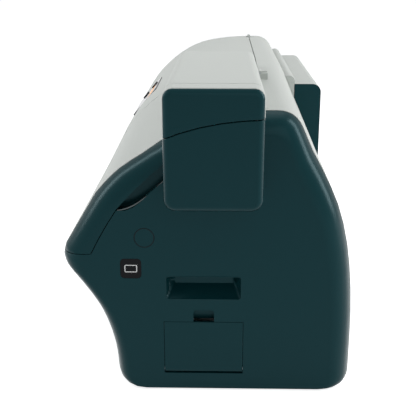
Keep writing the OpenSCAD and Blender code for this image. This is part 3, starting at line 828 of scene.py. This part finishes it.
@dataclass
class Casing:
    """Outer covers of the printer, with the lips of the right end face and a dark bead of painted shade in the
    seam round its plug.

    The right end is a flat face with a carrying recess, a service hatch, a round
    plug, a reader pad and the finger grip under the hood's band.
    """

    face_x: float = 308.5 * MM
    recess: tuple[float, float, float, float] = (-40 * MM, 31.5 * MM, 98 * MM, 121.5 * MM)
    plug: tuple[float, float, float] = (-59.5 * MM, 160.2 * MM, 9.5 * MM)
    pad: tuple[float, float, float, float] = (-82.8 * MM, -62.8 * MM, 119.3 * MM, 139.3 * MM)
    recess_corner: float = 3 * MM
    lip_radius: float = 0.55 * MM
    lip_sink: float = 0.25 * MM
    seam_radius: float = 0.35 * MM
    seam_inset: float = 0.3 * MM
    seam_sink: float = 0.1 * MM
    seam_points: int = 72
    seam_steps: int = 8
    ledge_radius: float = 0.9 * MM
    ledge_sink: float = 1.4 * MM
    ledge_span: tuple[float, float] = (0.02, 0.98)
    ledge_points: int = 40
    mark_inset: tuple[float, float] = (4 * MM, 6.2 * MM)
    mark_corners: tuple[float, float] = (1.4 * MM, 0.6 * MM)
    mark_width: float = 0.9 * MM
    mark_lift: float = 0.06 * MM
    mark_thick: float = 0.08 * MM
    grip: tuple[tuple[float, float], ...] = (
        (-84.6 * MM, 186.5 * MM), (-66 * MM, 188 * MM), (-52.8 * MM, 203.4 * MM), (-38.6 * MM, 216.4 * MM))
    panels: dict[str, float] = field(default_factory=lambda: {
        "front_lower_panel": 0.8 * MM, "rear_cover": 0.5 * MM, "end_cap_right": 0.7 * MM,
        "end_cap_left": 0.7 * MM, "hood_front": 0.6 * MM, "hood_top": 0.6 * MM,
        "hood_band_right": 0.5 * MM, "hood_band_left": 0.5 * MM, "base_pan": 0.4 * MM,
        "service_hatch": 0.5 * MM, "hole_plug": 0.4 * MM})

    def build(self, finishes: Finishes, slots: dict[str, Slot]) -> None:
        """Dress every cover and add the lips of the end face.

        Args:
            finishes: The materials.
            slots: The record's slot of each node.
        """
        for node, edge in self.panels.items():
            Skin(node, edge).build(finishes, slots[node])
        self.recess_lip(finishes)
        # Dark bead of painted shade in the seam round the plug.
        self.plug_seam_shade(finishes)
        self.grip_ledge(finishes)
        self.pad_mark(finishes)

    def recess_lip(self, finishes: Finishes) -> Piece:
        """Rolled lip round the mouth of the carrying recess: a bead along its loop.

        Args:
            finishes: The materials.

        Returns:
            The new piece.
        """
        y0, y1, z0, z1 = self.recess
        loop = rounded_loop(y0, y1, z0, z1, self.recess_corner)
        mesh = lattice(bead(loop, self.face_x - self.lip_sink, self.lip_radius, True), True, True)
        return Piece("recess_lip", mesh, CASING_BODY, Slot.TEAL, finishes.by_slot[Slot.TEAL])

    def plug_seam_shade(self, finishes: Finishes) -> Piece:
        """Painted shade in the seam round the plug: a dark bead along a circle.

        Args:
            finishes: The materials.

        Returns:
            The new piece.
        """
        y, z, r = self.plug
        a = np.linspace(0.0, 2.0 * math.pi, self.seam_points, endpoint=False)
        seam = r - self.seam_inset
        loop = np.stack([y + seam * np.cos(a), z + seam * np.sin(a)], -1)
        x = self.face_x - self.seam_sink
        mesh = lattice(bead(loop, x, self.seam_radius, True, self.seam_steps), True, True)
        # The dark bead is painted shade: it stands for the shadow in the gap round the plug.
        return Piece("plug_seam_shade", mesh, CASING_BODY, Slot.INNER, finishes.by_slot[Slot.INNER])

    def grip_ledge(self, finishes: Finishes) -> Piece:
        """Finger ledge along the lower edge of the grip.

        The edge is a cubic through four points in Bezier form: the sum of the points
        times (1 - t)^3, 3 t (1 - t)^2, 3 t^2 (1 - t) and t^3. A bead runs along it.

        Args:
            finishes: The materials.

        Returns:
            The new piece.
        """
        t = np.linspace(*self.ledge_span, self.ledge_points)[:, None]
        p = np.array(self.grip)
        curve = ((1 - t) ** 3 * p[0] + 3 * t * (1 - t) ** 2 * p[1]
                 + 3 * t ** 2 * (1 - t) * p[2] + t ** 3 * p[3])
        x = self.face_x - self.ledge_sink
        mesh = lattice(bead(curve, x, self.ledge_radius, False), False, True)
        return Piece("grip_ledge", mesh, CASING_BODY, Slot.TEAL, finishes.edge)

    def pad_mark(self, finishes: Finishes) -> Piece:
        """Plain card outline on the reader pad: a flat band round a rounded rectangle.

        Args:
            finishes: The materials.

        Returns:
            The new piece.
        """
        y0, y1, z0, z1 = self.pad
        side, end = self.mark_inset
        outer_corner, inner_corner = self.mark_corners
        outer = rounded_loop(y0 + side, y1 - side, z0 + end, z1 - end, outer_corner)
        side, end = side + self.mark_width, end + self.mark_width
        inner = rounded_loop(y0 + side, y1 - side, z0 + end, z1 - end, inner_corner)
        face = self.face_x + self.mark_lift
        flat = np.stack([outer, inner], 1)
        grid = np.concatenate([np.full((*flat.shape[:2], 1), face), flat], -1)
        mesh = lattice(grid, True, False)
        piece = Piece("pad_mark", mesh, CASING_BODY, Slot.CARD, finishes.by_slot[Slot.CARD])
        thick = piece.object.modifiers.new("thick", "SOLIDIFY")
        thick.thickness = self.mark_thick
        return piece


@dataclass
class CardFeeder:
    """Feeder at the right end: fixed body, hump, and a lid with a light rim and dark face."""

    panels: tuple[str, ...] = ("feeder_body", "feeder_hump", "feeder_lid_rim", "feeder_lid_face")
    edge: float = 0.8 * MM

    def build(self, finishes: Finishes, slots: dict[str, Slot]) -> None:
        """Dress the feeder's mouldings."""
        for node in self.panels:
            Skin(node, self.edge).build(finishes, slots[node])


@dataclass
class RearUnit:
    """Service unit on the back, and the tray at the left end."""

    panels: tuple[str, ...] = ("rear_unit_shell", "rear_unit_top", "rear_rib", "output_hopper", "feet")
    edge: float = 0.8 * MM

    def build(self, finishes: Finishes, slots: dict[str, Slot]) -> None:
        """Dress the unit's mouldings."""
        for node in self.panels:
            Skin(node, self.edge).build(finishes, slots[node])


class Mechanism:
    """Everything inside that keeps the frame's own shape and gets its finish."""

    def build(self, finishes: Finishes, slots: dict[str, Slot]) -> None:
        """Give each node that no piece stands for its material.

        Args:
            finishes: The materials.
            slots: The record's slot of each node.
        """
        for node, obj in frame["nodes"].items():
            if obj.hide_render:
                continue
            obj.data.materials.clear()
            obj.data.materials.append(finishes.of(node, slots[node]))
            LOG.info("%s: finish %s", node, slots[node].value)


@dataclass(frozen=True)
class Lamp:
    """A soft rectangular lamp, given by its width and height, aimed at a point of the printer."""

    name: str
    place: Triple
    aim: Triple
    size: tuple[float, float]
    power: float

    def build(self) -> None:
        """Put the lamp in the scene."""
        light = bpy.data.lights.new(self.name, "AREA")
        light.shape = "RECTANGLE"
        light.size, light.size_y = self.size
        light.energy = self.power
        obj = bpy.data.objects.new(self.name, light)
        obj.location = self.place
        look = Vector(self.aim) - Vector(self.place)
        obj.rotation_euler = look.to_track_quat("-Z", "Y").to_euler()
        bpy.context.scene.collection.objects.link(obj)


@dataclass
class Studio:
    """Pale floor, white surround and soft lamps."""

    reach: float = 30.0
    floor_glow: float = 0.76
    floor_tone: Colour = (0.82, 0.82, 0.82)
    floor_roughness: float = 0.9
    sky: float = 0.32
    sky_tone: Colour = (0.92, 0.96, 1.0)
    lamps: tuple[Lamp, ...] = (
        Lamp("key", (0.1, -1.7, 1.2), (0.1, 0.0, 0.15), (0.5, 1.6), 16.0),
        Lamp("rear", (0.3, 1.6, 1.0), (0.2, 0.05, 0.2), (0.5, 1.8), 22.0),
        Lamp("top", (-0.2, 0.0, 2.0), (0.0, 0.0, 0.2), (1.4, 1.4), 5.0),
        Lamp("end", (2.0, 0.5, 0.9), (0.3, 0.0, 0.15), (1.2, 1.2), 3.0),
    )

    def build(self) -> None:
        """Lay the floor, light the surround and set the lamps."""
        self.floor()
        self.surround()
        for lamp in self.lamps:
            lamp.build()

    def floor(self) -> None:
        """Flat square floor, plain pale, white to the camera except in the shadow."""
        r = self.reach
        corners = np.array([[-r, -r, 0], [r, -r, 0], [r, r, 0], [-r, r, 0]], float)
        mesh = bpy.data.meshes.new("floor")
        mesh.from_pydata(corners, [], [(0, 1, 2, 3)])
        obj = bpy.data.objects.new("floor", mesh)
        bpy.context.scene.collection.objects.link(obj)
        g = Graph("floor_white")
        g.set(Base_Color=self.floor_tone, Roughness=self.floor_roughness, Specular_IOR_Level=0.0)
        glow = g.node("ShaderNodeEmission", None, {"Color": WHITE, "Strength": self.floor_glow})
        none = g.node("ShaderNodeEmission", None, {"Color": BLACK, "Strength": 0.0})
        part = g.node("ShaderNodeMixShader", None,
                      {0: g.directly_seen(), 1: none.outputs[0], 2: glow.outputs[0]})
        both = g.node("ShaderNodeAddShader", None, {0: g.shader.outputs[0], 1: part.outputs[0]})
        g.feed(g.out.inputs[0], both.outputs[0])
        mesh.materials.append(g.material)

    def surround(self) -> None:
        """World: white to the camera and in reflections, softer as a light."""
        world = bpy.data.worlds.new("surround")
        bpy.context.scene.world = world
        world.use_nodes = True
        g = NodeTree(world.node_tree)
        light = g.node("ShaderNodeBackground", None, {"Color": self.sky_tone, "Strength": self.sky})
        back = g.node("ShaderNodeBackground", None, {"Color": WHITE})
        both = g.node("ShaderNodeMixShader", None,
                      {0: g.directly_seen(), 1: light.outputs[0], 2: back.outputs[0]})
        g.node("ShaderNodeOutputWorld", None, {0: both.outputs[0]})


@dataclass(frozen=True)
class PhotoCamera:
    """Camera at the photograph's place, a little above the right end."""

    place: Triple = (0.9726, 0.0135, 0.4096)
    look: Triple = (-0.9492, -0.0194, -0.3140)
    right: Triple = (-0.0205, 0.9998, 0.0)
    lens_mm: float = 66.2
    sensor_mm: float = 36.0
    nearest: float = 0.02

    def build(self) -> None:
        """Make the camera and set it as the scene's."""
        data = bpy.data.cameras.new("camera")
        data.lens = self.lens_mm
        data.sensor_width = self.sensor_mm
        data.clip_start = self.nearest
        obj = bpy.data.objects.new("camera", data)
        back = -Vector(self.look).normalized()
        right = Vector(self.right).normalized()
        up = back.cross(right).normalized()
        turn = Matrix((right, up, back)).transposed().to_4x4()
        obj.matrix_world = Matrix.Translation(self.place) @ turn
        bpy.context.scene.collection.objects.link(obj)
        bpy.context.scene.camera = obj


def main() -> None:
    """Build the studio, then each sub-assembly in order."""
    bpy.context.scene.view_settings.view_transform = "Standard"
    PhotoCamera().build()
    Studio().build()
    finishes = Finishes()
    slots = node_slots()
    for part in (Casing(), CardFeeder(), RearUnit(), Mechanism()):
        part.build(finishes, slots)
        LOG.info("%s done", type(part).__name__)


if __name__ == "__main__":
    main()
